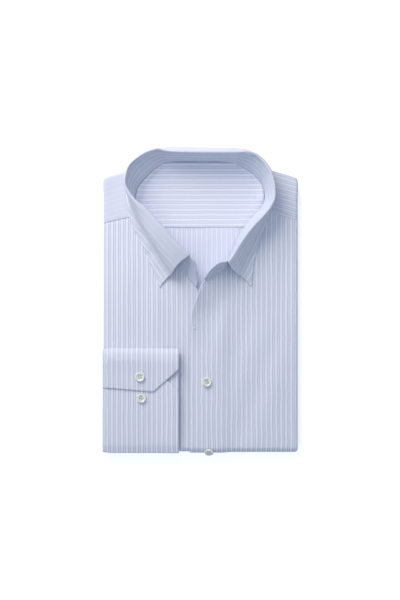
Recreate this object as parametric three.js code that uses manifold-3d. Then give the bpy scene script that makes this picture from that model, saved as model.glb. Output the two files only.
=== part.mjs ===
// A striped dress shirt folded flat for the shelf, lying on its back.
// Millimetres. X runs across the shirt, Y from the bottom fold to the collar, Z up from the table.
// Every panel is a wall of cloth worked out from the sizes below, and the hidden layers share one solid.
import * as THREE from 'three';
import { mergeVertices } from 'three/addons/utils/BufferGeometryUtils.js';
import Module from 'manifold-3d';

const wasm = await Module();
wasm.setup();

// ---- driving sizes -------------------------------------------------------------------------

const cloth = 1.2; // one pressed layer with its seam allowances
const gap = 0.3; // between one piece and the next
const halfWidth = 116.4; // from the middle to a side fold
const bottomY = -183.2; // the bottom fold
const backY = 174.5; // the fold behind the neck
const thickness = 15; // table to the top of a front
const shoulderSlope = 0.306; // how far the shoulder fold drops for each mm away from the neck
const shoulderFlat = 30; // half of the straight stretch behind the neck
const sideRadius = 4; // rounding of a side fold
const shoulderRadius = 4; // rounding of the shoulder fold
const hemRadius = thickness / 2; // the bottom fold goes round everything
const hemTopY = bottomY + hemRadius; // where a front starts to turn down
const sideDepth = 6.5; // how far a front goes down at the side
const sideCurl = 1; // how far its lower edge turns back in
const yokeSeamInside = 86.9; // where the inner yoke meets the back
const insideTop = 11.6; // top of the back and the inner yoke inside the neck
const insideHalf = 80; // half of what shows of the back
const insideLow = -58; // the lowest point of the back that the open front shows
const neckRise = 2; // the fronts climb this much towards the collar
const overlapRise = 1.6; // and the over front lies on the under front

const collar = {
  stand: 1.6, // two layers and an interlining
  leaf: 1.4,
  roll: 2, // radius of the roll line
  lip: 3, // the leaf starts this far below its roll
};

// Round the neck from the wearer's right point to the left one: the foot of the stand, its crest
// (the roll line, or the tab's top edge) and the edge of the leaf. land is 1 where the leaf's edge
// lies flat and 0 where it hangs.
const neckline = [
  { foot: [-5.8, 16.9, 18], crest: [-4.7, 37, 23.4] },
  { foot: [-11, 23, 18], crest: [-7, 47, 25.6] },
  { foot: [-18, 30.5, 18], crest: [-12.5, 54.8, 28], edge: [-48.8, 15.5, 17.8], land: 1 },
  { foot: [-31, 42.5, 18], crest: [-24.4, 61.9, 33.5], edge: [-54, 27.5, 17.8], land: 1 },
  { foot: [-51, 66, 18], crest: [-43.5, 82, 37.5], edge: [-64.5, 52.5, 18], land: 1 },
  { foot: [-69, 93, 17.9], crest: [-65.2, 105.8, 40], edge: [-79, 89, 18.2], land: 1 },
  { foot: [-77, 109, 17.5], crest: [-78.2, 120.9, 41], edge: [-86, 110, 17.8], land: 1 },
  { foot: [-79.5, 122, 16.7], crest: [-90, 134.8, 40.5], edge: [-88.5, 126, 17.2], land: 0.9 },
  { foot: [-76.3, 136, 16.2], crest: [-89.8, 146, 40], edge: [-89.5, 143, 16.8], land: 0.7 },
  { foot: [-67.4, 147, 16.1], crest: [-85, 160, 38], edge: [-86, 160, 15.5], land: 0.3 },
  { foot: [-52, 161, 16.1], crest: [-66, 176, 38], edge: [-67, 175.5, 9], land: 0 },
  { foot: [-34.3, 167.3, 16.1], crest: [-44, 180.3, 40], edge: [-44, 181, 7.5], land: 0 },
  { foot: [0, 167.3, 16.1], crest: [0, 178.6, 41], edge: [0, 180.4, 7], land: 0 },
  { foot: [35, 166.5, 16.1], crest: [42, 178.6, 40.5], edge: [42, 180, 7.5], land: 0 },
  { foot: [52, 160.5, 16.1], crest: [64, 176, 38.5], edge: [65, 175.5, 9], land: 0 },
  { foot: [66.5, 150, 16.1], crest: [79, 163.5, 38], edge: [81, 163, 15.5], land: 0.3 },
  { foot: [76, 137, 16.2], crest: [87.5, 147.5, 39.5], edge: [87.5, 144, 16.8], land: 0.7 },
  { foot: [77.5, 118.8, 17], crest: [89, 122.3, 40.5], edge: [86.5, 119, 17.4], land: 0.9 },
  { foot: [72, 109, 17.8], crest: [82.4, 109.4, 41], edge: [82.5, 103.5, 18.2], land: 1 },
  { foot: [53, 88, 18], crest: [57.6, 84.6, 41], edge: [73.7, 75.8, 18], land: 1 },
  { foot: [41, 64, 18.3], crest: [44.5, 66.8, 41], edge: [65.2, 49, 17.8], land: 1 },
  { foot: [32, 41, 18.9], crest: [33.5, 46, 41], edge: [61.7, 14.3, 17.8], land: 1 },
  { foot: [22, 32.5, 19.5], crest: [23.5, 45.5, 37] },
  { foot: [14, 27, 19.5], crest: [13.5, 38.5, 30] },
  { foot: [8.6, 24.3, 19.5], crest: [9, 31.5, 22.6] },
];
const firstLeaf = neckline.findIndex((row) => row.edge);
const lastLeaf = neckline.findLastIndex((row) => row.edge);

// The free edge of each front, from the bottom fold to the corner where its neck seam starts.
const freeEdge = {
  right: [[26, hemTopY], [25, -120], [20, -80], [12, -45], [3, -12], [-2.5, 6], [-5.6, 15.6]],
  left: [
    [-12.2, hemTopY],
    [-12.2, -56],
    [-11.9, -23.8],
    [-8.6, -6.5],
    [-5.2, 2.9],
    [-0.6, 15.6],
    [6.6, 23.4],
  ],
};
// Where each front meets the yoke, from the neck to the side fold.
const frontSeam = {
  right: [[-75, 103.2], [-82.5, 102.9], [-95.6, 100.7], [-107.7, 97.6], [-halfWidth, 93.1]],
  left: [[72, 110.5], [83.5, 108.4], [95.6, 103.6], [107, 100.6], [halfWidth, 98.8]],
};

// The cuff is a flat loop: its two ends lie one on the other, and both have a cut corner.
const cuff = {
  wall: 1.3,
  lift: 0.4, // between its layers
  left: -112.2, // its seam with the sleeve
  right: -25.8, // its hand edge
  top: -57.9, // its top fold
  bottom: -183.6, // its bottom fold
  overEnd: [-105.3, -110.1], // the end that lies on top, at the seam and at its cut corner
  underEnd: -81, // the end beneath
  cutAcross: 31, // a cut corner, along the end and up the hand edge
  cutUp: 27.4,
  droop: 1.2, // over the bottom fold of the shirt
  rest: -176, // where it starts to droop
};
const sleeve = { wall: 1.5, out: -118.2, top: 18, low: 0.6, shoulder: 11 }; // turned round the side fold

// Long soft swells left by pressing: a line across a front, its half width and its height.
const swells = [
  { side: 'left', from: [34, -172], to: [46, -120], wide: 7, high: 0.7 },
  { side: 'left', from: [56, -96], to: [84, 8], wide: 13, high: 0.8 },
  { side: 'left', from: [22, -70], to: [40, 0], wide: 11, high: 0.7 },
  { side: 'left', from: [92, -160], to: [101, -40], wide: 9, high: 0.5 },
  { side: 'right', from: [-92, -40], to: [-84, 70], wide: 12, high: 0.6 },
  { side: 'right', from: [-58, -48], to: [-50, 20], wide: 9, high: 0.5 },
];
const centre = [0.9, 1.6]; // brings the middle of the whole shirt to the origin

const buttonSize = { radius: 5.7, height: 2.3, rim: 0.9, dish: 4.1, hole: 0.75, pitch: 1.25 };

// ---- small helpers -------------------------------------------------------------------------

const clamp = (x) => Math.min(1, Math.max(0, x));
const mix = (a, b, t) => a + (b - a) * t;
const vec = (x, y, z) => new THREE.Vector3(x, y, z);

function smooth(from, to, x) {
  const t = clamp((x - from) / (to - from));
  return t * t * (3 - 2 * t);
}

// A smooth curve through points of the plane or of space.
function curveThrough(points) {
  return new THREE.CatmullRomCurve3(points.map(([x, y, z = 0]) => vec(x, y, z)), false, 'centripetal');
}

function makeSolid(positions, triangles) {
  const geometry = new THREE.BufferGeometry();
  const numbers = positions.flatMap((p) => [p.x, p.y, p.z]);
  geometry.setAttribute('position', new THREE.Float32BufferAttribute(numbers, 3));
  geometry.setIndex(triangles.flat());
  return geometry;
}

function signedVolume(positions, triangles) {
  return triangles.reduce((sum, [a, b, c]) => {
    return sum + positions[a].dot(positions[b].clone().cross(positions[c])) / 6;
  }, 0);
}

// A wall of cloth along the surface place(u, v). The normal is du x dv: the wall reaches above of its
// thickness to that side, and the rest of it to the other side.
function wall(place, across, along, thick, above = 0) {
  const middle = [];
  for (let i = 0; i <= across; i++) {
    for (let j = 0; j <= along; j++) {
      middle.push(place(i / across, j / along));
    }
  }
  const at = (i, j) => middle[i * (along + 1) + j];
  const outer = [];
  const inner = [];
  for (let i = 0; i <= across; i++) {
    for (let j = 0; j <= along; j++) {
      const du = at(Math.min(i + 1, across), j).clone().sub(at(Math.max(i - 1, 0), j));
      const dv = at(i, Math.min(j + 1, along)).clone().sub(at(i, Math.max(j - 1, 0)));
      const normal = du.cross(dv).normalize();
      outer.push(at(i, j).clone().addScaledVector(normal, above * thick));
      inner.push(at(i, j).clone().addScaledVector(normal, (above - 1) * thick));
    }
  }
  const points = [...outer, ...inner];
  const count = outer.length;
  const triangles = [];
  const quad = (a, b, c, d) => triangles.push([a, b, c], [a, c, d]);
  const id = (i, j) => i * (along + 1) + j;
  for (let i = 0; i < across; i++) {
    for (let j = 0; j < along; j++) {
      quad(id(i, j), id(i + 1, j), id(i + 1, j + 1), id(i, j + 1));
      quad(count + id(i, j), count + id(i, j + 1), count + id(i + 1, j + 1), count + id(i + 1, j));
    }
  }
  const rim = [];
  for (let i = 0; i < across; i++) rim.push(id(i, 0));
  for (let j = 0; j < along; j++) rim.push(id(across, j));
  for (let i = across; i > 0; i--) rim.push(id(i, along));
  for (let j = along; j > 0; j--) rim.push(id(0, j));
  rim.forEach((a, k) => {
    const b = rim[(k + 1) % rim.length];
    quad(b, a, count + a, count + b);
  });
  if (signedVolume(points, triangles) < 0) triangles.forEach((t) => t.reverse());
  return makeSolid(points, triangles);
}

// ---- heights that the pieces share ---------------------------------------------------------

function shoulderFold(x) {
  const away = Math.max(0, Math.abs(x) - shoulderFlat);
  return backY - shoulderSlope * away * smooth(0, 20, away);
}

// Height of a point of the plane on one swell: highest along its line, fading at both ends.
function swellAt({ from, to, wide, high }, x, y) {
  const line = new THREE.Vector2(to[0] - from[0], to[1] - from[1]);
  const point = new THREE.Vector2(x - from[0], y - from[1]);
  const along = clamp(point.dot(line) / line.lengthSq());
  const off = point.addScaledVector(line, -along).length() / wide;
  return high * Math.exp(-off * off) * Math.sin(Math.PI * mix(0.12, 0.88, along));
}

function overlap(side, x) {
  return side === 'left' ? overlapRise * (1 - smooth(24, 40, x)) : 0;
}

// Top of the cloth on a front: it climbs to the collar, and the over front lies on the under one.
function frontTop(side, x, y, fromSeam) {
  const climb = neckRise * smooth(-30, 20, y) * (1 - smooth(0, 45, fromSeam));
  const swell = swells.filter((row) => row.side === side).reduce((sum, row) => sum + swellAt(row, x, y), 0);
  const fade = smooth(hemTopY, hemTopY + 12, y) * smooth(halfWidth, halfWidth - 20, Math.abs(x));
  return thickness + climb + overlap(side, x) + swell * fade;
}

// The side of a panel: a quarter round, then down, then its lower edge turned in a little.
// It is flat up to the share flat, and out is towards the side.
function sideProfile(share, flat, depth) {
  const turn = 0.6; // of the way down, where the round ends
  const t = clamp((share - flat) / (1 - flat));
  if (t < turn) {
    const a = (t / turn) * (Math.PI / 2);
    return { out: sideRadius * Math.sin(a), down: sideRadius * (1 - Math.cos(a)) };
  }
  const b = ((t - turn) / (1 - turn)) * (Math.PI / 2);
  return { out: sideRadius - sideCurl * (1 - Math.cos(b)), down: mix(sideRadius, depth, Math.sin(b)) };
}

// ---- fronts --------------------------------------------------------------------------------

const seamPoints = {
  right: curveThrough(frontSeam.right).getPoints(40),
  left: curveThrough(frontSeam.left).getPoints(40),
};

// Height of the yoke seam over a place across the shirt.
function seamY(side, x) {
  const away = Math.abs(x);
  const points = seamPoints[side];
  const next = Math.max(1, points.findIndex((p) => Math.abs(p.x) >= away));
  const [a, b] = away > halfWidth ? points.slice(-2) : [points[next - 1], points[next]];
  return mix(a.y, b.y, clamp((away - Math.abs(a.x)) / (Math.abs(b.x) - Math.abs(a.x))));
}

const sign = { right: -1, left: 1 };
const hemTurn = (165 / 180) * Math.PI; // the bottom fold ends just above the table

// The seam between a front and the stand, worked out from the feet of the stand.
function neckSeam(side) {
  const rows = side === 'right' ? neckline.slice(1, 6) : neckline.slice(18, 24).reverse();
  const away = collar.stand / 2;
  return rows.map(({ foot }) => [foot[0] + sign[side] * away, foot[1] - away]);
}

// The bottom fold of a front: the under front is nested in the over front where they cross.
function hemFold(side, x, turn, down) {
  const low = side === 'right' ? (cloth + gap) * smooth(-50, -20, x) : 0;
  const radius = (thickness + overlap(side, x) - low) / 2;
  const away = radius - down;
  return vec(x, hemTopY - away * Math.sin(turn), low + radius + away * Math.cos(turn));
}

function frontPanel(side) {
  const s = sign[side];
  const inner = curveThrough([...freeEdge[side], ...neckSeam(side), frontSeam[side][0]]);
  const steps = { flat: 11, side: 5, hem: 6, top: 22 };
  const flatShare = steps.flat / (steps.flat + steps.side); // the rest of the way across is the side fold
  const hemShare = steps.hem / (steps.hem + steps.top); // and the rest of the way along is the top
  const flatOut = halfWidth - sideRadius;
  const innerTopY = frontSeam[side][0][1];
  const sideTopY = frontSeam[side].at(-1)[1];
  const place = (u, v) => {
    const along = clamp((v - hemShare) / (1 - hemShare));
    const turn = (1 - clamp(v / hemShare)) * hemTurn;
    const t = clamp(u / flatShare);
    const edge = inner.getPoint(along);
    const depth = mix(4.6, sideDepth, smooth(0, 0.25, along));
    const fold = sideProfile(u, flatShare, depth);
    const x = mix(edge.x, s * flatOut, t) + s * fold.out;
    if (turn > 0) return hemFold(side, x, turn, fold.down);
    const share = (edge.y - hemTopY) / (innerTopY - hemTopY);
    const sideY = mix(hemTopY, sideTopY, share);
    const bow = (seamY(side, x) - mix(innerTopY, sideTopY, t)) * smooth(0.75, 1, along);
    const y = mix(edge.y, sideY, t) + bow;
    return vec(x, y, frontTop(side, x, y, Math.abs(x - edge.x)) - fold.down);
  };
  return wall(place, steps.flat + steps.side, steps.hem + steps.top, cloth, side === 'right' ? 1 : 0);
}

// ---- yoke and back -------------------------------------------------------------------------

const yokeRows = neckline.slice(6, 18); // between the two front seams

// Height of the yoke: it climbs to the collar near the fronts and lies flat behind the neck.
function yokeTop(y, fromNeck) {
  return thickness + neckRise * (1 - smooth(100, 135, y)) * (1 - smooth(0, 45, fromNeck));
}

// Outline of the yoke's flat part, from one front seam up a side, along the shoulder fold and down.
function yokeOutline() {
  const side = halfWidth - sideRadius;
  const corner = shoulderFold(side) - shoulderRadius;
  const fold = (x) => [x, shoulderFold(x) - shoulderRadius];
  const low = { right: frontSeam.right.at(-1)[1] + gap, left: frontSeam.left.at(-1)[1] + gap };
  return [
    [-side, low.right],
    [-side, low.right + 12],
    [-side, low.right + 32],
    [-side, corner - 2],
    fold(2 - side),
    fold(-76),
    fold(-38),
    fold(0),
    fold(38),
    fold(76),
    fold(side - 2),
    [side, corner - 2],
    [side, low.left + 26],
    [side, low.left],
  ];
}

function outerYoke() {
  const away = collar.stand / 2;
  const foot = yokeRows.map((row) => [row.foot[0] * (1 + away / insideHalf), row.foot[1] + away]);
  const ends = [frontSeam.right[0], frontSeam.left[0]].map(([x, y]) => [x * 1.02, y + gap]);
  const neck = curveThrough([ends[0], ...foot, ends[1]]);
  const outline = curveThrough(yokeOutline());
  const flatShare = 0.6;
  const nearSeam = 0.1; // share of the way round that bends to the seam with a front
  const place = (u, v) => {
    const start = neck.getPoint(u);
    const end = outline.getPoint(u);
    const tangent = outline.getTangent(u);
    const side = u < 0.5 ? 'right' : 'left';
    const seam = [neck.getPoint(Math.round(u)), outline.getPoint(Math.round(u))];
    const toSeam = 1 - smooth(0, nearSeam, Math.min(u, 1 - u));
    const t = clamp(v / flatShare);
    const fold = sideProfile(v, flatShare, sideDepth - 1);
    const x = mix(start.x, end.x, t) - tangent.y * fold.out;
    const bow = (seamY(side, x) + gap - mix(seam[0].y, seam[1].y, t)) * toSeam;
    const y = mix(start.y, end.y, t) + tangent.x * fold.out + bow;
    return vec(x, y, yokeTop(y, Math.hypot(x - start.x, y - start.y)) - fold.down);
  };
  return wall(place, 44, 10, cloth);
}

// Where the foot of the stand stands at a height y, on one side of the neck.
const neckPoints = curveThrough(yokeRows.map((row) => row.foot)).getPoints(200);

function neckSide(side, y) {
  if (y < 118) return sign[side] * insideHalf;
  const past = (point) => point.y >= y;
  return (side === 'right' ? neckPoints.find(past) : neckPoints.findLast(past)).x;
}

function innerYoke() {
  const topY = 165.8; // just inside the foot of the stand
  const inset = collar.stand / 2;
  const place = (u, v) => {
    const y = mix(yokeSeamInside + gap / 2, topY, 1 - (1 - v) ** 1.6);
    const left = neckSide('right', y) + inset;
    const right = neckSide('left', y) - inset;
    const x = mix(left, right, u);
    const fromNeck = Math.min(x - left, right - x, (topY - y) * 1.2);
    const rise = (thickness - insideTop) * (1 - smooth(0, 9, fromNeck)) * smooth(112, 124, y);
    return vec(x, y, insideTop + rise);
  };
  return wall(place, 24, 12, cloth);
}

function backPanel() {
  const place = (u, v) => {
    const x = mix(-insideHalf, insideHalf, u);
    const y = mix(insideLow, yokeSeamInside - gap / 2, v);
    return vec(x, y, insideTop);
  };
  return wall(place, 8, 8, cloth);
}

// ---- collar --------------------------------------------------------------------------------

const column = (name, rows) => curveThrough(rows.map((row) => row[name]));
const footLine = column('foot', neckline);
const crestLine = column('crest', neckline);
const leafRows = neckline.slice(firstLeaf, lastLeaf + 1);
const edgeLine = column('edge', leafRows);
const landLine = curveThrough(leafRows.map((row) => [row.land, 0]));

// The frame of one section at t along the neckline: up the stand, and away from it over the roll.
function section(t) {
  const foot = footLine.getPoint(t);
  const crest = crestLine.getPoint(t);
  const along = crestLine.getTangent(t).setZ(0).normalize();
  const away = vec(-along.y, along.x, 0);
  const up = crest.clone().sub(foot).normalize();
  const over = away.clone().addScaledVector(up, -away.dot(up)).normalize();
  const reach = collar.roll + collar.leaf / 2;
  const roll = crest.clone().addScaledVector(up, -reach);
  return { foot, crest, away, up, over, roll };
}

// 1 where the leaf grows from the stand, 0 on the tabs.
function underLeaf(t) {
  const row = t * (neckline.length - 1);
  return smooth(firstLeaf - 1, firstLeaf, row) * (1 - smooth(lastLeaf, lastLeaf + 1, row));
}

function standTop({ crest, up, over, roll }, t) {
  const below = roll.clone().addScaledVector(over, -collar.roll).addScaledVector(up, -collar.lip - gap);
  return crest.clone().lerp(below, underLeaf(t));
}

function collarStand() {
  const place = (u, v) => {
    const at = section(u);
    return at.foot.clone().lerp(standTop(at, u), v);
  };
  return wall(place, 2 * (neckline.length - 1), 4, collar.stand, 0.5);
}

function collarLeaf() {
  const rows = neckline.length - 1;
  const steps = { lip: 1, roll: 4, fall: 6 };
  const all = steps.lip + steps.roll + steps.fall;
  const lipShare = steps.lip / all;
  const rollShare = (steps.lip + steps.roll) / all;
  const place = (u, v) => {
    const t = mix(firstLeaf, lastLeaf, u) / rows;
    const at = section(t);
    if (v < lipShare) {
      const down = (1 - v / lipShare) * collar.lip;
      return at.roll.clone().addScaledVector(at.over, -collar.roll).addScaledVector(at.up, -down);
    }
    if (v < rollShare) {
      const a = ((v - lipShare) / (rollShare - lipShare)) * Math.PI;
      const side = -Math.cos(a) * collar.roll;
      const up = Math.sin(a) * collar.roll;
      return at.roll.clone().addScaledVector(at.over, side).addScaledVector(at.up, up);
    }
    const start = at.roll.clone().addScaledVector(at.over, collar.roll);
    const end = edgeLine.getPoint(u);
    const land = landLine.getPoint(u).x;
    const reach = start.distanceTo(end);
    const inward = at.away.clone().multiplyScalar(-land).setZ(1 - land).normalize();
    const fall = new THREE.CubicBezierCurve3(
      start,
      start.clone().addScaledVector(at.up, -reach * 0.38),
      end.clone().addScaledVector(inward, reach * 0.36).add(vec(0, 0, land)),
      end,
    );
    return fall.getPoint((v - rollShare) / (1 - rollShare));
  };
  return wall(place, 3 * (leafRows.length - 1), all, collar.leaf, 0.5);
}

// ---- cuff and sleeve -----------------------------------------------------------------------

// How far right an end of the cuff reaches this far from it: the cut corner, then the hand edge.
function cuffRight(fromEnd) {
  return cuff.right - cuff.cutAcross * (1 - clamp(fromEnd / cuff.cutUp));
}

// Steps along the loop, and the share of it that is done after each stretch.
const cuffSteps = 46;
const cuffStages = {
  underUp: 12 / cuffSteps,
  turnedIn: 16 / cuffSteps,
  beneath: 26 / cuffSteps,
  turnedOut: 30 / cuffSteps,
};

// From one height to another, with the row at share on the line where the cuff starts to droop.
function throughRest(from, to, t, share) {
  return t < share ? mix(from, cuff.rest, t / share) : mix(cuff.rest, to, (t - share) / (1 - share));
}

// The loop from the under end round the bottom fold, back beneath, round the top fold and down to
// the over end. t runs along it, and share across it from the sleeve seam to the hand edge.
function cuffLoop(t, share) {
  const layer = cuff.wall + cuff.lift;
  const bend = (layer + cuff.wall) / 2; // outer radius of a fold
  const low = thickness + gap;
  const bottomMid = cuff.bottom + bend;
  const topMid = cuff.top - bend;
  const droop = (y) => cuff.droop * smooth(cuff.rest, cuff.bottom, y);
  const at = (x, y, z) => vec(x, y, z - droop(y));
  const full = mix(cuff.left, cuff.right, share);
  const { underUp, turnedIn, beneath, turnedOut } = cuffStages;
  if (t < underUp) {
    const last = 1 - 1 / (underUp * cuffSteps);
    const y = throughRest(cuff.underEnd, bottomMid, t / underUp, last);
    return at(mix(cuff.left, cuffRight(cuff.underEnd - y), share), y, low + 2 * bend);
  }
  if (t < turnedIn) {
    const turn = ((t - underUp) / (turnedIn - underUp)) * Math.PI;
    return at(full, bottomMid - bend * Math.sin(turn), low + bend + bend * Math.cos(turn));
  }
  if (t < beneath) {
    const first = 1 / ((beneath - turnedIn) * cuffSteps);
    return at(full, throughRest(bottomMid, topMid, (t - turnedIn) / (beneath - turnedIn), first), low);
  }
  if (t < turnedOut) {
    const turn = ((t - beneath) / (turnedOut - beneath)) * Math.PI;
    return at(full, topMid + bend * Math.sin(turn), low + bend - bend * Math.cos(turn));
  }
  const down = (t - turnedOut) / (1 - turnedOut);
  const y = mix(topMid, cuff.overEnd[1], down);
  const x = mix(cuff.left, cuffRight(y - cuff.overEnd[1]), share);
  const slant = (cuff.overEnd[0] - cuff.overEnd[1]) * (1 - share) * down;
  return at(x, y + slant, low + 2 * bend + layer * smooth(topMid, cuff.underEnd + 6, y));
}

function cuffWall() {
  return wall(cuffLoop, cuffSteps, 7, cuff.wall);
}

function sleeveWall() {
  const from = cuff.left - gap;
  const wide = from - sleeve.out;
  const turnShare = 0.75;
  const place = (u, v) => {
    const y = mix(cuff.top - 0.6, cuff.bottom + 1, u);
    if (v < turnShare) {
      const a = (v / turnShare) * (Math.PI / 2);
      const z = sleeve.shoulder + (sleeve.top - sleeve.shoulder) * Math.cos(a);
      return vec(from - wide * Math.sin(a), y, z);
    }
    return vec(sleeve.out, y, mix(sleeve.shoulder, sleeve.low, (v - turnShare) / (1 - turnShare)));
  };
  return wall(place, 10, 8, sleeve.wall, 1);
}

// ---- buttons -------------------------------------------------------------------------------

function manifoldOf(geometry) {
  const plain = geometry.clone();
  plain.deleteAttribute('normal');
  plain.deleteAttribute('uv');
  const merged = mergeVertices(plain, 1e-4);
  return new wasm.Manifold(
    new wasm.Mesh({
      numProp: 3,
      vertProperties: new Float32Array(merged.attributes.position.array),
      triVerts: new Uint32Array(merged.index.array),
    }),
  );
}

function geometryOf(solid) {
  const mesh = solid.getMesh();
  const geometry = new THREE.BufferGeometry();
  geometry.setAttribute('position', new THREE.BufferAttribute(new Float32Array(mesh.vertProperties), 3));
  geometry.setIndex(new THREE.BufferAttribute(new Uint32Array(mesh.triVerts), 1));
  return geometry;
}

// A four-hole button with a raised rim, its back at Z 0.
function buttonGeometry() {
  const { radius, height, rim, dish, hole, pitch } = buttonSize;
  const profile = [
    [0, 0],
    [radius - 1, 0],
    [radius, rim],
    [radius - 0.3, height - 0.3],
    [radius - 0.9, height],
    [dish, height - 0.2],
    [dish - 0.8, height - 0.9],
    [0, height - 1],
  ].map(([r, z]) => new THREE.Vector2(r, z));
  const disc = new THREE.LatheGeometry(profile, 20);
  disc.rotateX(Math.PI / 2);
  let solid = manifoldOf(disc);
  for (const [i, j] of [[1, 1], [1, -1], [-1, 1], [-1, -1]]) {
    const drill = new THREE.CylinderGeometry(hole, hole, height * 3, 6);
    drill.rotateX(Math.PI / 2);
    drill.translate(i * pitch, j * pitch, 0);
    solid = solid.subtract(manifoldOf(drill));
  }
  return geometryOf(solid);
}

// ---- hidden layers -------------------------------------------------------------------------

// A slab of folded cloth with a round edge: the outline shrinks by the rounding at top and bottom.
function slab(outline, low, high) {
  const radius = (high - low) / 2;
  const count = outline.length;
  const steps = 6;
  const points = [];
  const normals = outline.map((p, k) => {
    const a = outline[(k + count - 1) % count];
    const b = outline[(k + 1) % count];
    return new THREE.Vector2(b[1] - a[1], a[0] - b[0]).normalize();
  });
  for (let i = 0; i <= steps; i++) {
    const a = (i / steps) * Math.PI;
    outline.forEach(([x, y], k) => {
      const pull = radius * (1 - Math.sin(a));
      points.push(vec(x - normals[k].x * pull, y - normals[k].y * pull, low + radius * (1 - Math.cos(a))));
    });
  }
  const triangles = [];
  for (let i = 0; i < steps; i++) {
    for (let k = 0; k < count; k++) {
      const next = (k + 1) % count;
      const a = i * count;
      const b = a + count;
      triangles.push([a + k, a + next, b + next], [a + k, b + next, b + k]);
    }
  }
  const cap = (start, flip) => {
    const middle = points.length;
    points.push(vec(0, 0, points[start].z));
    for (let k = 0; k < count; k++) {
      const pair = [start + k, start + ((k + 1) % count)];
      triangles.push([middle, ...(flip ? pair.reverse() : pair)]);
    }
  };
  cap(0, true);
  cap(steps * count, false);
  if (signedVolume(points, triangles) < 0) triangles.forEach((t) => t.reverse());
  return manifoldOf(makeSolid(points, triangles));
}

// The outline of the hidden layers, this far inside the side folds, the bottom and the shoulders.
function bodyOutline(side, bottom, shoulder) {
  const half = halfWidth - side;
  const low = bottomY + bottom;
  const top = [];
  const corner = 3;
  const across = 2 * (half - corner);
  for (let k = 0; k <= 16; k++) {
    const x = half - corner - (across * k) / 16;
    top.push([x, shoulderFold(x) - shoulder]);
  }
  const high = top[0][1] - corner;
  return [[1 - half, low], [half - 1, low], [half, low + 1], [half, 0], [half, high],
    ...top, [-half, high], [-half, 0], [-half, low + 1]];
}

function foldedCore() {
  const upperLow = 7.3;
  const lowerHigh = 6.9;
  const upper = slab(bodyOutline(2.3, 5.6, 2.8), upperLow, thickness - cloth - gap);
  const lower = slab(bodyOutline(1, 7.2, 4), 0, lowerHigh);
  const waist = slab(bodyOutline(9, 14, 12), lowerHigh - 1.5, upperLow + 1.5);
  const inside = neckPoints.filter((p, k) => p.y > 118 && k % 4 === 0).map((p) => [p.x * 1.02, p.y + 1]);
  const half = insideHalf + 1.5;
  const recess = new THREE.Shape(
    [[-half, insideLow - 2 * gap], [-half, 116], ...inside, [half, 116], [half, insideLow - 2 * gap]].map(
      ([x, y]) => new THREE.Vector2(x, y),
    ),
  );
  const cutter = new THREE.ExtrudeGeometry(recess, { depth: 10, bevelEnabled: false, steps: 1 });
  cutter.translate(0, 0, insideTop - cloth - gap);
  return geometryOf(upper.add(lower).add(waist).subtract(manifoldOf(cutter)));
}

// ---- the shirt -----------------------------------------------------------------------------

const shirtCloth = (color) => new THREE.MeshStandardMaterial({ color, roughness: 0.85, metalness: 0 });
const pearl = new THREE.MeshStandardMaterial({ color: 0xe9ebe2, roughness: 0.3, metalness: 0 });

const shirt = new THREE.Group();
const body = new THREE.Group();
body.position.set(centre[0], centre[1], 0);
shirt.add(body);

function addPiece(name, geometry, material) {
  const mesh = new THREE.Mesh(geometry, material);
  mesh.name = name;
  body.add(mesh);
  return mesh;
}

addPiece('folded_core', foldedCore(), shirtCloth(0xbfc9de));
addPiece('back_panel', backPanel(), shirtCloth(0xd6ddec));
addPiece('yoke_inner', innerYoke(), shirtCloth(0xcfd7ea));
addPiece('yoke_outer', outerYoke(), shirtCloth(0xccd5e8));
addPiece('front_right', frontPanel('right'), shirtCloth(0xd0d7e9));
addPiece('front_left', frontPanel('left'), shirtCloth(0xc6d0e4));
addPiece('collar_stand', collarStand(), shirtCloth(0xa9b6d4));
addPiece('collar_leaf', collarLeaf(), shirtCloth(0xc3cce0));
addPiece('cuff', cuffWall(), shirtCloth(0xcbd2e5));
addPiece('sleeve', sleeveWall(), shirtCloth(0xc4cce1));

const button = buttonGeometry();
const cuffTop = thickness + 2 * gap + 2 * cuff.wall + cuff.lift;
const onCuff = cuffTop + cuff.wall + cuff.lift;
const seats = {
  button_front: [7.8, -98.1, frontTop('left', 7.8, -98.1, 30) + gap],
  button_cuff_outer: [-72.4, -92, onCuff],
  button_cuff_inner: [-70.7, -117.4, cuffTop],
};
for (const [name, seat] of Object.entries(seats)) addPiece(name, button, pearl).position.set(...seat);

// The lowest button sits on the bottom fold and faces the wearer's feet.
const hemButton = { x: 10.3, turn: (48 / 180) * Math.PI };
const hemSeat = hemFold('left', hemButton.x, hemButton.turn, -gap);
const tilted = addPiece('button_hem', button, pearl);
tilted.position.copy(hemSeat);
tilted.rotation.x = hemButton.turn;

export default shirt;
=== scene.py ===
import math
from functools import lru_cache

import bmesh
import bpy
from mathutils import Matrix, Vector, noise


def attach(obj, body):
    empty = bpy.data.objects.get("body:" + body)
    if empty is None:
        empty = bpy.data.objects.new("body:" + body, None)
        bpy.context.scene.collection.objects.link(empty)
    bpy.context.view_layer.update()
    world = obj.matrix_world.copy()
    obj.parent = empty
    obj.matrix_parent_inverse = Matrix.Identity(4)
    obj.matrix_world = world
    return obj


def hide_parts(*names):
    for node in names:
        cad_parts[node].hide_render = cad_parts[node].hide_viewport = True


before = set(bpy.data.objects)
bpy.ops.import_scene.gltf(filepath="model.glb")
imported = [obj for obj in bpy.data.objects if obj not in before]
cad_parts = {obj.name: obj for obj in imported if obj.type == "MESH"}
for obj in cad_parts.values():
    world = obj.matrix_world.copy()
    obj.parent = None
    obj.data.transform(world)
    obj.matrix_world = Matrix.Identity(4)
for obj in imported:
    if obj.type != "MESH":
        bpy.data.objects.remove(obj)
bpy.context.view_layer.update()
print("frame loaded")

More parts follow.
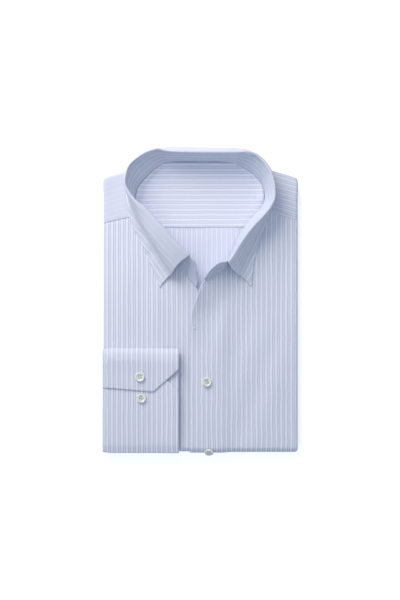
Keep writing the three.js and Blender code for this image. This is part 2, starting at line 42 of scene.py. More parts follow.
# Sizes of the folded shirt in millimetres, the same as in the frame
shirt = {
    "centre": (0.9, 1.6),  # from the shirt's own middle to the middle of the frame
    "halfWidth": 117.0,
    "bottomY": -183.2,  # the bottom fold
    "backY": 174.5,  # the fold behind the neck
    "thickness": 15.0,
    "cloth": 1.2,
    "gap": 0.3,
    "sideRadius": 3.2,
    "sideDepth": 6.5,
    "sideCurl": 1.0,
    "shoulderSlope": 0.306,
    "shoulderFlat": 30.0,
    "neckRise": 2.0,
    "edgeRise": {"right": 0.0, "left": 9.5},  # how far the open front edge stands up by the neck
    "edgeReach": 34.0,  # and how far into the front that reaches
    "neckCorner": 3.0,  # where the left front's edge meets the neck seam, across
    "overlapRise": 1.6,
    "yokeSeamInside": 86.9,
    "lap": 1.2,  # how far the yoke reaches over the cloth it is sewn to
    "insideTop": 11.6,
    "insideHalf": 80.0,
    "insideLow": -58.0,
}
hemRadius = shirt["thickness"] / 2
hemTopY = shirt["bottomY"] + hemRadius
flatOut = shirt["halfWidth"] - shirt["sideRadius"]

collar = {"stand": 1.6, "leaf": 1.4, "lip": 3.0, "sink": 3.2}

# Round the neck, from the wearer's right end to the left one. Each row has the band's foot and the top
# of the roll. Under the leaf it also has the roll's half width, how level the leaf leaves the roll
# (0 to 1), the leaf's edge, and how flat the leaf lands there (0 to 1).
neckline = [
    {"foot": (-4.4, 16.2, 18.6), "crest": (-4.7, 34.5, 30)},
    {"foot": (-11, 23, 18), "crest": (-6.9, 46.5, 35)},
    {"foot": (-18, 30.5, 18), "crest": (-15.2, 51.2, 36.5), "leaf": (3.4, 1.0, (-48.8, 15.5, 17.8), 1)},
    {"foot": (-31, 42.5, 18), "crest": (-25.4, 61, 38.5), "leaf": (3.8, 1.0, (-54, 27.5, 17.8), 1)},
    {"foot": (-51, 66, 18), "crest": (-43.9, 80.9, 40.5), "leaf": (3.8, 1.0, (-63.5, 52.5, 18), 1)},
    {"foot": (-69, 93, 17.9), "crest": (-65.5, 105.4, 41), "leaf": (2.8, 0.75, (-81.3, 90, 18.2), 1)},
    {"foot": (-77, 109, 17.5), "crest": (-79.1, 118.6, 41), "leaf": (1.6, 0.5, (-88.3, 111, 17.8), 1)},
    {"foot": (-79.5, 122, 16.7), "crest": (-89.2, 135.3, 40.5), "leaf": (0.9, 0.0, (-89.6, 127, 17.2), 0.9)},
    {"foot": (-76.3, 136, 16.2), "crest": (-89, 147.5, 40), "leaf": (0.7, 0.0, (-88, 143, 16.8), 0.7)},
    {"foot": (-67.4, 147, 16.1), "crest": (-84.6, 160, 38), "leaf": (0.7, 0.0, (-83, 158, 15.5), 0.3)},
    {"foot": (-60, 154.6, 16.1), "crest": (-74, 169.7, 38), "leaf": (0.7, 0.0, (-73, 167, 12), 0)},
    {"foot": (-52, 161, 16.1), "crest": (-63.6, 175.7, 38.5), "leaf": (0.7, 0.0, (-64, 174, 10), 0)},
    {"foot": (-43.5, 165.6, 16.1), "crest": (-50, 179.4, 39.5), "leaf": (0.8, 0.0, (-50, 180, 9), 0)},
    {"foot": (-34.3, 167.3, 16.1), "crest": (-41, 177, 40.5), "leaf": (1.0, 0.0, (-42, 184, 10), 0)},
    {"foot": (0, 167.3, 16.1), "crest": (0, 175.4, 41), "leaf": (1.2, 0.0, (0, 183.6, 9), 0)},
    {"foot": (33, 166.8, 16.1), "crest": (41, 175.3, 40.5), "leaf": (1.2, 0.0, (42, 182.6, 9), 0)},
    {"foot": (44, 163.9, 16.1), "crest": (56, 175.6, 40), "leaf": (1.0, 0.0, (57.5, 180.5, 9), 0)},
    {"foot": (54, 159.4, 16.1), "crest": (66, 172.6, 39), "leaf": (1.1, 0.0, (67.5, 174.5, 10), 0)},
    {"foot": (66.5, 150, 16.1), "crest": (77.8, 161.2, 38.5), "leaf": (1.5, 0.0, (81, 162.5, 15.5), 0.3)},
    {"foot": (76, 137, 16.2), "crest": (85.2, 146, 39.5), "leaf": (1.0, 0.0, (87, 143.5, 16.8), 0.7)},
    {"foot": (77.5, 118.8, 17), "crest": (87.8, 123.4, 40.5), "leaf": (0.8, 0.15, (86.5, 119, 17.4), 0.9)},
    {"foot": (72, 109, 17.8), "crest": (82, 109.5, 41), "leaf": (1.0, 0.3, (82.5, 103.5, 18.2), 1)},
    {"foot": (53, 88, 18), "crest": (59, 83.4, 39.5), "leaf": (1.0, 0.45, (73.7, 75.8, 18), 1)},
    {"foot": (41, 64, 18.3), "crest": (46.2, 65.4, 38.5), "leaf": (1.0, 0.6, (65.2, 49, 17.8), 1)},
    {"foot": (32, 41, 18.9), "crest": (32.9, 46.1, 38.5), "leaf": (1.0, 0.6, (61.2, 15, 17.8), 1)},
    {"foot": (22, 32.5, 21.2), "crest": (23.5, 45.3, 38)},
    {"foot": (14, 27, 24.4), "crest": (13.8, 38.5, 36)},
    {"foot": (8.6, 24.3, 26.6), "crest": (8.2, 31.8, 33.2)},
    {"foot": (4.2, 22.2, 27.6), "crest": (4.2, 25.6, 30.2)},
]
leafRows = [k for k, row in enumerate(neckline) if "leaf" in row]
firstLeaf, lastLeaf = leafRows[0], leafRows[-1]

freeEdge = {
    "right": [
        (26, hemTopY), (25, -120), (20, -80), (12, -45), (4, -12), (-0.8, 4), (-3.2, 11.6), (-4.6, 16),
    ],
    "left": [
        (-12.7, hemTopY), (-12.7, -56), (-12.4, -34), (-11, -20), (-9, -10.6), (-6.2, -2), (-3.4, 6),
        (-0.4, 14), (2.6, 20.4),
    ],
}
frontSeam = {
    "right": [(-75, 100.0), (-84, 98.8), (-96, 96.8), (-108, 94.2), (-shirt["halfWidth"], 91.4)],
    "left": [(72, 109.5), (83.5, 105.4), (95.5, 100.6), (106, 97.6), (shirt["halfWidth"], 95.6)],
}
sideSign = {"right": -1, "left": 1}


def clamp(x):
    return min(1.0, max(0.0, x))


def mix(a, b, t):
    return a + (b - a) * t


def smooth(start, end, x):
    t = clamp((x - start) / (end - start))
    return t * t * (3 - 2 * t)


def ripple(x, y, size, seed):
    # soft unevenness between -1 and 1, the same in every run
    return noise.noise(Vector((x / size, y / size, seed)))


def toFrame(point):
    cx, cy = shirt["centre"]
    return Vector(((point[0] + cx) / 1000, (point[1] + cy) / 1000, point[2] / 1000))


def curveThrough(points):
    # a smooth curve through the points; t runs from 0 to 1 and each stretch takes an equal part of it
    knots = [Vector((*p, 0.0)) if len(p) == 2 else Vector(p) for p in points]
    knots = [knots[0] * 2 - knots[1], *knots, knots[-1] * 2 - knots[-2]]
    stretches = len(knots) - 3

    @lru_cache(maxsize=None)
    def at(t):
        k = min(int(t * stretches), stretches - 1)
        w = t * stretches - k
        p0, p1, p2, p3 = knots[k:k + 4]
        d0, d1, d2 = (max((b - a).length, 1e-4) ** 0.5 for a, b in ((p0, p1), (p1, p2), (p2, p3)))
        m1 = ((p1 - p0) / d0 - (p2 - p0) / (d0 + d1) + (p2 - p1) / d1) * d1
        m2 = ((p2 - p1) / d1 - (p3 - p1) / (d1 + d2) + (p3 - p2) / d2) * d1
        return (
            p1 * (2 * w ** 3 - 3 * w ** 2 + 1) + m1 * (w ** 3 - 2 * w ** 2 + w)
            + p2 * (3 * w ** 2 - 2 * w ** 3) + m2 * (w ** 3 - w ** 2)
        )

    return at


def heading(curve, t):
    step = 1e-4
    return (curve(clamp(t + step)) - curve(clamp(t - step))).normalized()


class EvenLine:
    # a row of points walked at an even pace; it gives the place and how far along that is
    def __init__(self, points):
        self.points = points
        self.far = [0.0]
        for a, b in zip(points, points[1:]):
            self.far.append(self.far[-1] + (b - a).length)
        self.length = self.far[-1]

    def at(self, share):
        goal = clamp(share) * self.length
        k = next((k for k in range(1, len(self.far)) if self.far[k] >= goal), len(self.far) - 1)
        span = max(self.far[k] - self.far[k - 1], 1e-9)
        return self.points[k - 1].lerp(self.points[k], clamp((goal - self.far[k - 1]) / span)), goal


# Materials

def nodeMaker(material):
    nodes, links = material.node_tree.nodes, material.node_tree.links

    def node(kind, inputs=None, **settings):
        made = nodes.new(kind)
        for key, value in settings.items():
            setattr(made, key, value)
        for key, value in (inputs or {}).items():
            if isinstance(value, bpy.types.NodeSocket):
                links.new(value, made.inputs[key])
            else:
                made.inputs[key].default_value = value
        return made

    return node


def newMaterial(name):
    material = bpy.data.materials.new(name)
    material.use_nodes = True
    material.node_tree.nodes.clear()
    return material, nodeMaker(material)


def srgb(r, g, b):
    # a colour as it is read off a colour chart, 0 to 255
    def linear(c):
        c = c / 255
        return c / 12.92 if c <= 0.04045 else ((c + 0.055) / 1.055) ** 2.4
    return (linear(r), linear(g), linear(b), 1.0)


clothLook = {
    "period": 5.98,  # one light band, one blue band and the fine line in it
    "light": srgb(233, 236, 248),
    "ground": srgb(208, 213, 231),
    "line": srgb(188, 195, 219),
    "thread": 0.42,  # between two threads of the weave
    "roughness": 0.82,
    "sheen": 0.12,
}


def clothMaterial(name, contrast=1.0, weave=1.0, lift=1.0, wander=1.0, paintedShadeTint=(1, 1, 1)):
    look = clothLook
    material, node = newMaterial(name)
    spot = node("ShaderNodeSeparateXYZ", {0: node("ShaderNodeUVMap", uv_map="cloth").outputs[0]})
    across, along = spot.outputs[0], spot.outputs[1]
    both = node("ShaderNodeCombineXYZ", {0: across, 1: along}).outputs[0]

    def math2(operation, a, b=0.0):
        return node("ShaderNodeMath", {0: a, 1: b}, operation=operation).outputs[0]

    drift = node("ShaderNodeTexNoise", {"Vector": both, "Scale": 28.0, "Detail": 2.0})
    shift = math2("MULTIPLY", math2("SUBTRACT", drift.outputs[0], 0.5), 0.0013 * wander)
    phase = math2("FRACT", math2("DIVIDE", math2("ADD", across, shift), look["period"] / 1000))
    ramp = node("ShaderNodeValToRGB", {0: phase})
    stops = [
        (0.00, "line"), (0.07, "light"), (0.40, "light"), (0.46, "line"), (0.52, "ground"),
        (0.66, "ground"), (0.71, "light"), (0.76, "light"), (0.81, "ground"), (0.95, "ground"),
    ]
    middle = [sum(look[key][c] for key in ("light", "ground")) / 2 for c in range(3)]
    elements = ramp.color_ramp.elements
    while len(elements) < len(stops):
        elements.new(1.0)
    for element, (place, key) in zip(elements, stops):
        element.position = place
        element.color = (*(mix(middle[c], look[key][c], contrast) for c in range(3)), 1.0)
    plain = node(
        "ShaderNodeMix",
        {
            0: node("ShaderNodeAttribute", attribute_name="fade").outputs["Fac"],
            6: ramp.outputs[0], 7: (*(mix(middle[c], look["ground"][c], 0.75) for c in range(3)), 1.0),
        },
        data_type="RGBA",
    )
    # single threads are a little lighter or darker, and the dye is a little uneven
    threads = node("ShaderNodeVectorMath", {0: both, 1: (2600.0, 60.0, 0.0)}, operation="MULTIPLY")
    slub = node("ShaderNodeTexNoise", {"Vector": threads.outputs[0], "Scale": 1.0, "Detail": 1.0})
    tone = node("ShaderNodeTexNoise", {"Vector": both, "Scale": 16.0, "Detail": 3.0})
    shade = math2("ADD", math2("MULTIPLY", slub.outputs[0], 0.10), math2("MULTIPLY", tone.outputs[0], 0.05))
    # lift scales a whole piece's colour, and the tint after it colours it: a lift or tint other than 1 is
    # painted light or painted shade, not the cloth's own tone
    level = math2("MULTIPLY", math2("ADD", shade, 0.925), lift)
    colour = node("ShaderNodeVectorMath", {0: plain.outputs[2], 1: level}, operation="MULTIPLY")
    colour = node("ShaderNodeVectorMath", {0: colour.outputs[0], 1: paintedShadeTint}, operation="MULTIPLY")
    # plain weave: threads go over and under each other
    turn = 2 * math.pi * 1000 / look["thread"]
    weft = math2("SINE", math2("MULTIPLY", across, turn))
    warp = math2("SINE", math2("MULTIPLY", along, turn))
    bump = node(
        "ShaderNodeBump",
        {"Strength": 0.35 * weave, "Distance": 0.00006, "Height": math2("MULTIPLY", weft, warp)},
    )
    shader = node(
        "ShaderNodeBsdfPrincipled",
        {
            "Base Color": colour.outputs[0], "Roughness": look["roughness"], "Normal": bump.outputs[0],
            "Sheen Weight": look["sheen"], "Sheen Roughness": 0.5, "Specular IOR Level": 0.25,
        },
    )
    node("ShaderNodeOutputMaterial", {0: shader.outputs[0]})
    return material


def threadMaterial():
    material, node = newMaterial("sewingThread")
    where = node("ShaderNodeTexCoord").outputs["Object"]
    grain = node("ShaderNodeTexNoise", {"Vector": where, "Scale": 900.0, "Detail": 2.0})
    ramp = node("ShaderNodeValToRGB", {0: grain.outputs[0]})
    ramp.color_ramp.elements[0].color = srgb(205, 212, 232)
    ramp.color_ramp.elements[1].color = srgb(240, 243, 252)
    bump = node("ShaderNodeBump", {"Strength": 0.4, "Distance": 0.00005, "Height": grain.outputs[0]})
    shader = node(
        "ShaderNodeBsdfPrincipled",
        {"Base Color": ramp.outputs[0], "Roughness": 0.55, "Normal": bump.outputs[0], "Sheen Weight": 0.2},
    )
    node("ShaderNodeOutputMaterial", {0: shader.outputs[0]})
    return material


def pearlMaterial():
    material, node = newMaterial("pearlButton")
    where = node("ShaderNodeTexCoord").outputs["Object"]
    cloud = node("ShaderNodeTexNoise", {"Vector": where, "Scale": 170.0, "Detail": 3.0, "Distortion": 1.2})
    ramp = node("ShaderNodeValToRGB", {0: cloud.outputs[0]})
    ramp.color_ramp.elements[0].position = 0.3
    ramp.color_ramp.elements[0].color = srgb(218, 224, 210)
    ramp.color_ramp.elements[1].position = 0.7
    ramp.color_ramp.elements[1].color = srgb(244, 246, 238)
    bump = node("ShaderNodeBump", {"Strength": 0.15, "Distance": 0.0001, "Height": cloud.outputs[0]})
    shader = node(
        "ShaderNodeBsdfPrincipled",
        {
            "Base Color": ramp.outputs[0], "Roughness": 0.22, "Normal": bump.outputs[0],
            "Coat Weight": 0.4, "Coat Roughness": 0.1, "Specular IOR Level": 0.6,
        },
    )
    node("ShaderNodeOutputMaterial", {0: shader.outputs[0]})
    return material


stripedCloth = clothMaterial("stripedCloth", contrast=1.15)
softCloth = clothMaterial("softStripedCloth", contrast=1.15, wander=1.7)
# a lighter copy of the cloth for the inside of the neck: painted light that makes up for the shade the
# collar casts there
insideClothPaintedLight = clothMaterial("insideClothPaintedLight", contrast=0.95, lift=1.07)
# the collar's leaf is a little darker copy of the cloth: painted shade
pressedClothPaintedShade = clothMaterial("pressedClothPaintedShade", contrast=0.95, weave=0.7, lift=0.97)
# the band is a darker, bluer copy of the cloth: painted shade, with the blue of light bounced inside the
# collar painted in
bandClothPaintedShade = clothMaterial("bandClothPaintedShade", contrast=0.85, weave=0.7, lift=0.93, paintedShadeTint=(0.975, 1.0, 1.015))
# the cuff is a little darker copy of the cloth: painted shade
cuffStripesPaintedShade = clothMaterial("cuffCloth", contrast=1.2, weave=0.7, lift=0.97)
sewingThread = threadMaterial()
pearlButton = pearlMaterial()
print("materials ready")


# How the cloth pieces are made

def newPiece(name, bm, material):
    mesh = bpy.data.meshes.new(name)
    bm.to_mesh(mesh)
    bm.free()
    piece = bpy.data.objects.new(name, mesh)
    bpy.context.scene.collection.objects.link(piece)
    mesh.materials.append(material)
    mesh.shade_smooth()
    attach(piece, "root")
    return piece


def makeCloth(name, place, columns, rows, thick, material, outside=1, offset=-1.0):
    # place(u, v) gives a point and its spot on the flat cloth, both in millimetres, and where the
    # stripes fade how much of them is gone
    bm = bmesh.new()
    bmesh.ops.create_grid(bm, x_segments=columns, y_segments=rows, size=0.5)
    layer = bm.loops.layers.uv.new("cloth")
    faded = bm.verts.layers.float.new("fade")
    spots = {}
    for vert in bm.verts:
        point, spot, *rest = place(clamp(vert.co.x + 0.5), clamp(vert.co.y + 0.5))
        vert.co = toFrame(point)
        vert[faded] = rest[0] if rest else 0.0
        spots[vert] = (spot[0] / 1000, spot[1] / 1000)
    for face in bm.faces:
        for loop in face.loops:
            loop[layer].uv = spots[loop.vert]
    if outside < 0:
        bmesh.ops.reverse_faces(bm, faces=bm.faces)
    area = sum(face.calc_area() for face in bm.faces)
    piece = newPiece(name, bm, material)
    shell = piece.modifiers.new("thickness", "SOLIDIFY")
    shell.thickness = thick / 1000
    shell.offset = offset
    shell.use_quality_normals = True
    finer = piece.modifiers.new("smooth", "SUBSURF")
    finer.levels = finer.render_levels = 1
    print(f"{name}: {area * 1e6:.0f} square mm of cloth")
    return piece, area


def declare(nodes):
    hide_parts(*nodes)


def shoulderFold(x):
    away = max(0.0, abs(x) - shirt["shoulderFlat"])
    return shirt["backY"] - shirt["shoulderSlope"] * away * smooth(0, 20, away)


def sideProfile(share, flat, depth):
    # how far a panel has gone out and down past its flat part, and the cloth that takes
    turn = 0.6
    radius, curl = shirt["sideRadius"], shirt["sideCurl"]
    t = clamp((share - flat) / (1 - flat))
    quarter = radius * math.pi / 2
    if t < turn:
        a = (t / turn) * math.pi / 2
        return radius * math.sin(a), radius * (1 - math.cos(a)), quarter * t / turn
    b = ((t - turn) / (1 - turn)) * math.pi / 2
    down = mix(radius, depth, math.sin(b))
    return radius - curl * (1 - math.cos(b)), down, quarter + (depth - radius) * (t - turn) / (1 - turn)


# Fronts

fronts = {
    "columns": 60,
    "flatColumns": 52,
    "rows": 114,
    "hemRows": 14,
    "hemTurn": math.radians(165),
    "wave": 0.30,  # the soft unevenness of the pressed cloth
    # long soft swells left by pressing: a line, its half width and its height
    "swells": [
        {"side": "left", "start": (43, -178), "end": (53, -138), "wide": 5, "high": -0.8},
        {"side": "left", "start": (46, -166), "end": (95, -34), "wide": 11, "high": -1.1},
        {"side": "left", "start": (66, -172), "end": (106, -60), "wide": 10, "high": 0.7},
        {"side": "left", "start": (30, -104), "end": (62, -6), "wide": 10, "high": -0.8},
        {"side": "left", "start": (14, -76), "end": (38, 2), "wide": 10, "high": 0.9},
        {"side": "left", "start": (96, -30), "end": (104, 70), "wide": 9, "high": -0.7},
        {"side": "right", "start": (-92, -40), "end": (-84, 70), "wide": 12, "high": 0.6},
        {"side": "right", "start": (-58, -48), "end": (-50, 20), "wide": 9, "high": 0.5},
        {"side": "right", "start": (-10, -170), "end": (-16, -14), "wide": 24, "high": -1.5},
    ],
}
seamCurves = {side: curveThrough(points) for side, points in frontSeam.items()}
seamPoints = {side: [curve(k / 40) for k in range(41)] for side, curve in seamCurves.items()}


def seamY(side, x):
    points = seamPoints[side]
    away = abs(x)
    k = next((k for k in range(1, len(points)) if abs(points[k].x) >= away), len(points) - 1)
    a, b = points[k - 1], points[k]
    return mix(a.y, b.y, clamp((away - abs(a.x)) / (abs(b.x) - abs(a.x))))


def swellAt(row, x, y):
    line = Vector(row["end"]) - Vector(row["start"])
    point = Vector((x, y)) - Vector(row["start"])
    along = clamp(point.dot(line) / line.length_squared)
    off = (point - line * along).length / row["wide"]
    return row["high"] * math.exp(-off * off) * math.sin(math.pi * mix(0.12, 0.88, along))


def overlap(side, x):
    return shirt["overlapRise"] * (1 - smooth(24, 40, x)) if side == "left" else 0.0


def frontTop(side, x, y, fromSeam):
    # the height of a front's upper face, where fromSeam is how far the spot is from the open edge
    climb = shirt["neckRise"] * smooth(-30, 20, y) * (1 - smooth(0, 45, fromSeam))
    fromEdge = clamp(max(fromSeam, x - shirt["neckCorner"]) / shirt["edgeReach"])
    climb += shirt["edgeRise"][side] * smooth(-62, 20, y) * (1 - smooth(24, 64, y)) * (1 - fromEdge) ** 1.6
    fade = smooth(hemTopY, hemTopY + 12, y) * smooth(shirt["halfWidth"], shirt["halfWidth"] - 20, abs(x))
    swell = sum(swellAt(row, x, y) for row in fronts["swells"] if row["side"] == side)
    even = fronts["wave"] * (ripple(x, y * 0.6, 34, 1.7) + 0.5 * ripple(x, y * 0.6, 15, 6.2))
    return shirt["thickness"] + climb + overlap(side, x) + (swell + even) * fade


def neckSeam(side):
    rows = neckline[1:6] if side == "right" else neckline[21:28][::-1]
    return [(row["foot"][0] - sideSign[side] * 0.3, row["foot"][1] + 0.3) for row in rows]


def hemFold(side, x, turn, down):
    low = (shirt["cloth"] + shirt["gap"]) * smooth(-50, -20, x) if side == "right" else 0.0
    radius = (shirt["thickness"] + overlap(side, x) - low) / 2
    away = radius - down
    return (x, hemTopY - away * math.sin(turn), low + radius + away * math.cos(turn))


def frontPlace(side):
    s = sideSign[side]
    inner = curveThrough(freeEdge[side] + neckSeam(side) + [frontSeam[side][0]])
    flat = fronts["flatColumns"] / fronts["columns"]
    hem = fronts["hemRows"] / fronts["rows"]
    innerTop, sideTop = frontSeam[side][0][1], frontSeam[side][-1][1]

    def place(u, v):
        along = clamp((v - hem) / (1 - hem))
        turn = (1 - clamp(v / hem)) * fronts["hemTurn"]
        t = clamp(u / flat)
        t *= 1 - 0.8 * (1 - smooth(0, 0.08, t))  # narrow columns keep the open edge crisp
        edge = inner(along)
        depth = mix(4.6, shirt["sideDepth"], smooth(0, 0.25, along))
        out, down, used = sideProfile(u, flat, depth)
        flatX = mix(edge.x, s * flatOut, t)
        x = flatX + s * out
        if turn > 0:
            return hemFold(side, x, turn, down), (flatX + s * used, hemTopY - hemRadius * turn)
        share = (edge.y - hemTopY) / (innerTop - hemTopY)
        bow = (seamY(side, x) - mix(innerTop, sideTop, t)) * smooth(0.75, 1, along)
        under = smooth(0.96, 1, along) * shirt["lap"]
        y = mix(edge.y, mix(hemTopY, sideTop, share), t) + bow + under
        return (x, y, frontTop(side, x, y, abs(x - edge.x)) - down - 0.3 * under), (flatX + s * used, y)

    return place


frontPlaces = {side: frontPlace(side) for side in ("right", "left")}
for side, place in frontPlaces.items():
    piece, area = makeCloth(
        f"front{side.title()}Cloth", place, fronts["columns"], fronts["rows"], shirt["cloth"],
        softCloth if side == "left" else stripedCloth, outside=sideSign[side],
    )
    declare([f"front_{side}"])
print("fronts made")


# Yoke and back

yoke = {"columns": 132, "rows": 20, "flat": 0.66, "stripeSlope": 0.3}
yokeRows = neckline[6:21]


def yokeTop(y, fromNeck):
    nearFront = 1 - smooth(100, 135, y)
    return shirt["thickness"] + shirt["neckRise"] * nearFront * (1 - smooth(0, 45, fromNeck))


def yokeOutline():
    gap = shirt["gap"]
    corner = shoulderFold(flatOut) - 4
    low = {side: frontSeam[side][-1][1] + gap for side in frontSeam}

    def fold(x):
        return (x, shoulderFold(x) - 4)
    return [
        (-flatOut, low["right"]), (-flatOut, low["right"] + 12), (-flatOut, low["right"] + 32),
        (-flatOut, corner - 1), fold(1 - flatOut), fold(-76), fold(-38), fold(0), fold(38), fold(76),
        fold(flatOut - 1), (flatOut, corner - 1), (flatOut, low["left"] + 26), (flatOut, low["left"]),
    ]


def outerYokePlace():
    away, gap = collar["stand"] / 2, shirt["gap"]
    foot = [(row["foot"][0] * (1 + away / shirt["insideHalf"]), row["foot"][1] + away) for row in yokeRows]
    ends = [(x * 1.02, y + gap) for x, y in (frontSeam["right"][0], frontSeam["left"][0])]
    neck = curveThrough([ends[0], *foot, ends[1]])
    outline = curveThrough(yokeOutline())
    slope = yoke["stripeSlope"]
    size = math.hypot(1, slope)

    def place(u, v):
        start, end, tangent = neck(u), outline(u), heading(outline, u)
        side = "right" if u < 0.5 else "left"
        seam = (neck(round(u)), outline(round(u)))
        toSeam = 1 - smooth(0, 0.1, min(u, 1 - u))
        t = clamp(v / yoke["flat"])
        out, down, used = sideProfile(v, yoke["flat"], shirt["sideDepth"] - 1)
        flatX, flatY = mix(start.x, end.x, t), mix(start.y, end.y, t)
        x = flatX - tangent.y * out
        bow = (seamY(side, x) + gap - mix(seam[0].y, seam[1].y, t)) * toSeam
        y = flatY + tangent.x * out + bow
        z = yokeTop(y, math.hypot(x - start.x, y - start.y)) - down + 0.15 * toSeam
        z += 0.25 * ripple(x, y, 22, 3.1) * smooth(0, 0.2, t) * (1 - smooth(0.8, 1, t))
        clothX, clothY = flatX - tangent.y * used, flatY + tangent.x * used + bow
        spot = ((clothY + slope * abs(clothX)) / size, (abs(clothX) - slope * clothY) / size)
        return (x, y, z), spot, 0.85 if x < 0 else 0.4

    return place


neckCurve = curveThrough([row["foot"] for row in yokeRows])
neckPoints = [neckCurve(k / 200) for k in range(201)]


def neckSide(side, y):
    if y < 118:
        return sideSign[side] * shirt["insideHalf"]
    order = neckPoints if side == "right" else neckPoints[::-1]
    return next((p for p in order if p.y >= y), order[100]).x


def innerYokePlace(u, v):
    topY, over = 166.8, 0.2  # behind the neck, and how far it reaches under the band
    y = mix(shirt["yokeSeamInside"], topY, 1 - (1 - v) ** 1.6)
    left, right = neckSide("right", y) - over, neckSide("left", y) + over
    x = mix(left, right, u)
    fromNeck = min(x - left, right - x, (topY - y) * 1.2)
    rise = (shirt["thickness"] - shirt["insideTop"]) * (1 - smooth(2.5, 11, fromNeck)) * smooth(112, 124, y)
    rise -= 1.6 * (1 - smooth(0, 2.2, fromNeck)) * smooth(112, 124, y)
    lap = 0.2 * (1 - smooth(3, 9, y - shirt["yokeSeamInside"]))  # it lies on the back's seam allowance
    even = 0.3 * ripple(x, y, 26, 2.4) * smooth(0, 12, fromNeck)
    return (x, y, shirt["insideTop"] + rise + lap + even), (y, x)


back = {"rise": 3.2, "riseAt": (-1, 12), "riseReach": (13, 14)}  # it lifts towards the fronts' corner


def backPlace(u, v):
    x = mix(-shirt["insideHalf"], shirt["insideHalf"], u)
    y = mix(shirt["insideLow"], shirt["yokeSeamInside"] + shirt["lap"], v)
    fade = smooth(0, 10, shirt["yokeSeamInside"] - y)
    even = 0.3 * ripple(x, y * 0.5, 24, 8.8) * fade
    offX, offY = ((at - to) / reach for at, to, reach in zip((x, y), back["riseAt"], back["riseReach"]))
    rise = back["rise"] * math.exp(-offX ** 2 - offY ** 2)
    return (x, y, shirt["insideTop"] + even + rise - 0.4 * (1 - fade)), (x, y), 0.4


outerYoke, area = makeCloth(
    "yokeOutsideCloth", outerYokePlace(), yoke["columns"], yoke["rows"], shirt["cloth"], stripedCloth,
)
declare(["yoke_outer"])
innerYoke, area = makeCloth("yokeInsideCloth", innerYokePlace, 66, 40, shirt["cloth"], insideClothPaintedLight)
declare(["yoke_inner"])
backPanel, area = makeCloth("backInsideCloth", backPlace, 50, 50, shirt["cloth"], insideClothPaintedLight)
declare(["back_panel"])
print("yoke and back made")


# Collar

band = {"columns": 168, "rows": 16, "root": 0.125, "hollow": 2.2, "roundEnd": 1.9}
leaf = {
    "columns": 184, "rows": 40,
    "fallOut": (0.42, 0.76), "fallIn": (0.44, 0.64),  # how far a crisp or soft fall keeps its heading
    "dip": {"right": 3.4, "left": 1.6},  # how far the front edges bend back or forward
}
rowsLast = len(neckline) - 1
footLine = curveThrough([row["foot"] for row in neckline])
crestLine = curveThrough([row["crest"] for row in neckline])
rollLine = curveThrough([(*neckline[k]["leaf"][:2], neckline[k]["leaf"][3]) for k in leafRows])
edgeLine = curveThrough([neckline[k]["leaf"][2] for k in leafRows])
crestWalk = EvenLine([crestLine(k / 240) for k in range(241)])
up = Vector((0, 0, 1))


def collarSection(t):
    along = heading(crestLine, t)
    along = Vector((along.x, along.y, 0)).normalized()
    far = crestWalk.far[min(240, round(t * 240))]
    return crestLine(t), along, Vector((-along.y, along.x, 0)), far


def leafShare(t):
    return clamp((t * rowsLast - firstLeaf) / (lastLeaf - firstLeaf))


def rollSize(u):
    # half width, height and heading of the roll, and how flat the leaf lands
    sizes = rollLine(u)
    width = max(sizes.x, 0.5)
    return width, min(width, 1.8), clamp(sizes.y), clamp(sizes.z)


def underLeaf(t, reach=0.5):
    # 1 where the leaf covers the band, less towards and past its two ends
    row = t * rowsLast
    return smooth(firstLeaf, firstLeaf + reach, row) * (1 - smooth(lastLeaf - reach, lastLeaf, row))


def bandPlace(u, v):
    crest, along, away, far = collarSection(u)
    foot = footLine(u)
    width, high, ease, land = rollSize(leafShare(u))
    covered = underLeaf(u)
    row = u * rowsLast
    near = smooth(firstLeaf - 0.8, firstLeaf, row) * (1 - smooth(lastLeaf, lastLeaf + 0.8, row))
    top = crest - (away * width + up * high) * near - up * collar["lip"] * covered
    rise = clamp((v - band["root"]) / (1 - band["root"]))
    if rise == 0:
        return foot - up * collar["sink"] * (1 - v / band["root"]), (0, far), 0.8
    hump = math.sin(math.pi * rise)
    point = foot.lerp(top, rise) - up * band["hollow"] * hump * (1 - covered)
    point += Vector((1, 0, 0)) * band["roundEnd"] * hump * (1 - smooth(0, 0.02, u))
    point += away * 0.35 * ripple(far, rise * 20, 30, 4.4) * hump
    fade = 0.8 * (smooth(0.62, 0.75, u) + 1 - smooth(0.08, 0.12, u))
    return point, ((top - foot).length * rise, far), fade


def frontHeight(x, y):
    side = "right" if x < 0 else "left"
    seam = min(neckSeam(side), key=lambda p: abs(p[1] - y))
    return frontTop(side, x, y, abs(x - seam[0]))


@lru_cache(maxsize=None)
def leafSection(u):
    t = mix(firstLeaf, lastLeaf, u) / rowsLast
    crest, along, away, far = collarSection(t)
    width, high, ease, land = rollSize(u)
    middle = crest - up * high
    inner = middle - away * width
    points = [inner - up * collar["lip"], inner - up * collar["lip"] / 2]
    turn = math.pi * mix(1, 0.5, ease)
    for k in range(13):
        a = turn * k / 12
        points.append(middle - away * width * math.cos(a) + up * high * math.sin(a))
    start, end = points[-1], edgeLine(u)
    if land > 0.95:
        end.z = frontHeight(end.x, end.y) + collar["leaf"] / 2 + 0.1
    reach = (end - start).length
    outward = (away * width * math.sin(turn) + up * high * math.cos(turn)).normalized()
    inward = (away * -land + up * (1 - land)).normalized()
    soft = smooth(0.5, 1, ease)
    c1 = start + outward * reach * mix(*leaf["fallOut"], soft)
    c2 = end + inward * reach * mix(*leaf["fallIn"], soft) + up * land * 0.6
    for k in range(1, 29):
        w = k / 28
        points.append(
            start * (1 - w) ** 3 + c1 * 3 * w * (1 - w) ** 2 + c2 * 3 * w ** 2 * (1 - w) + end * w ** 3
        )
    return EvenLine(points), far, along


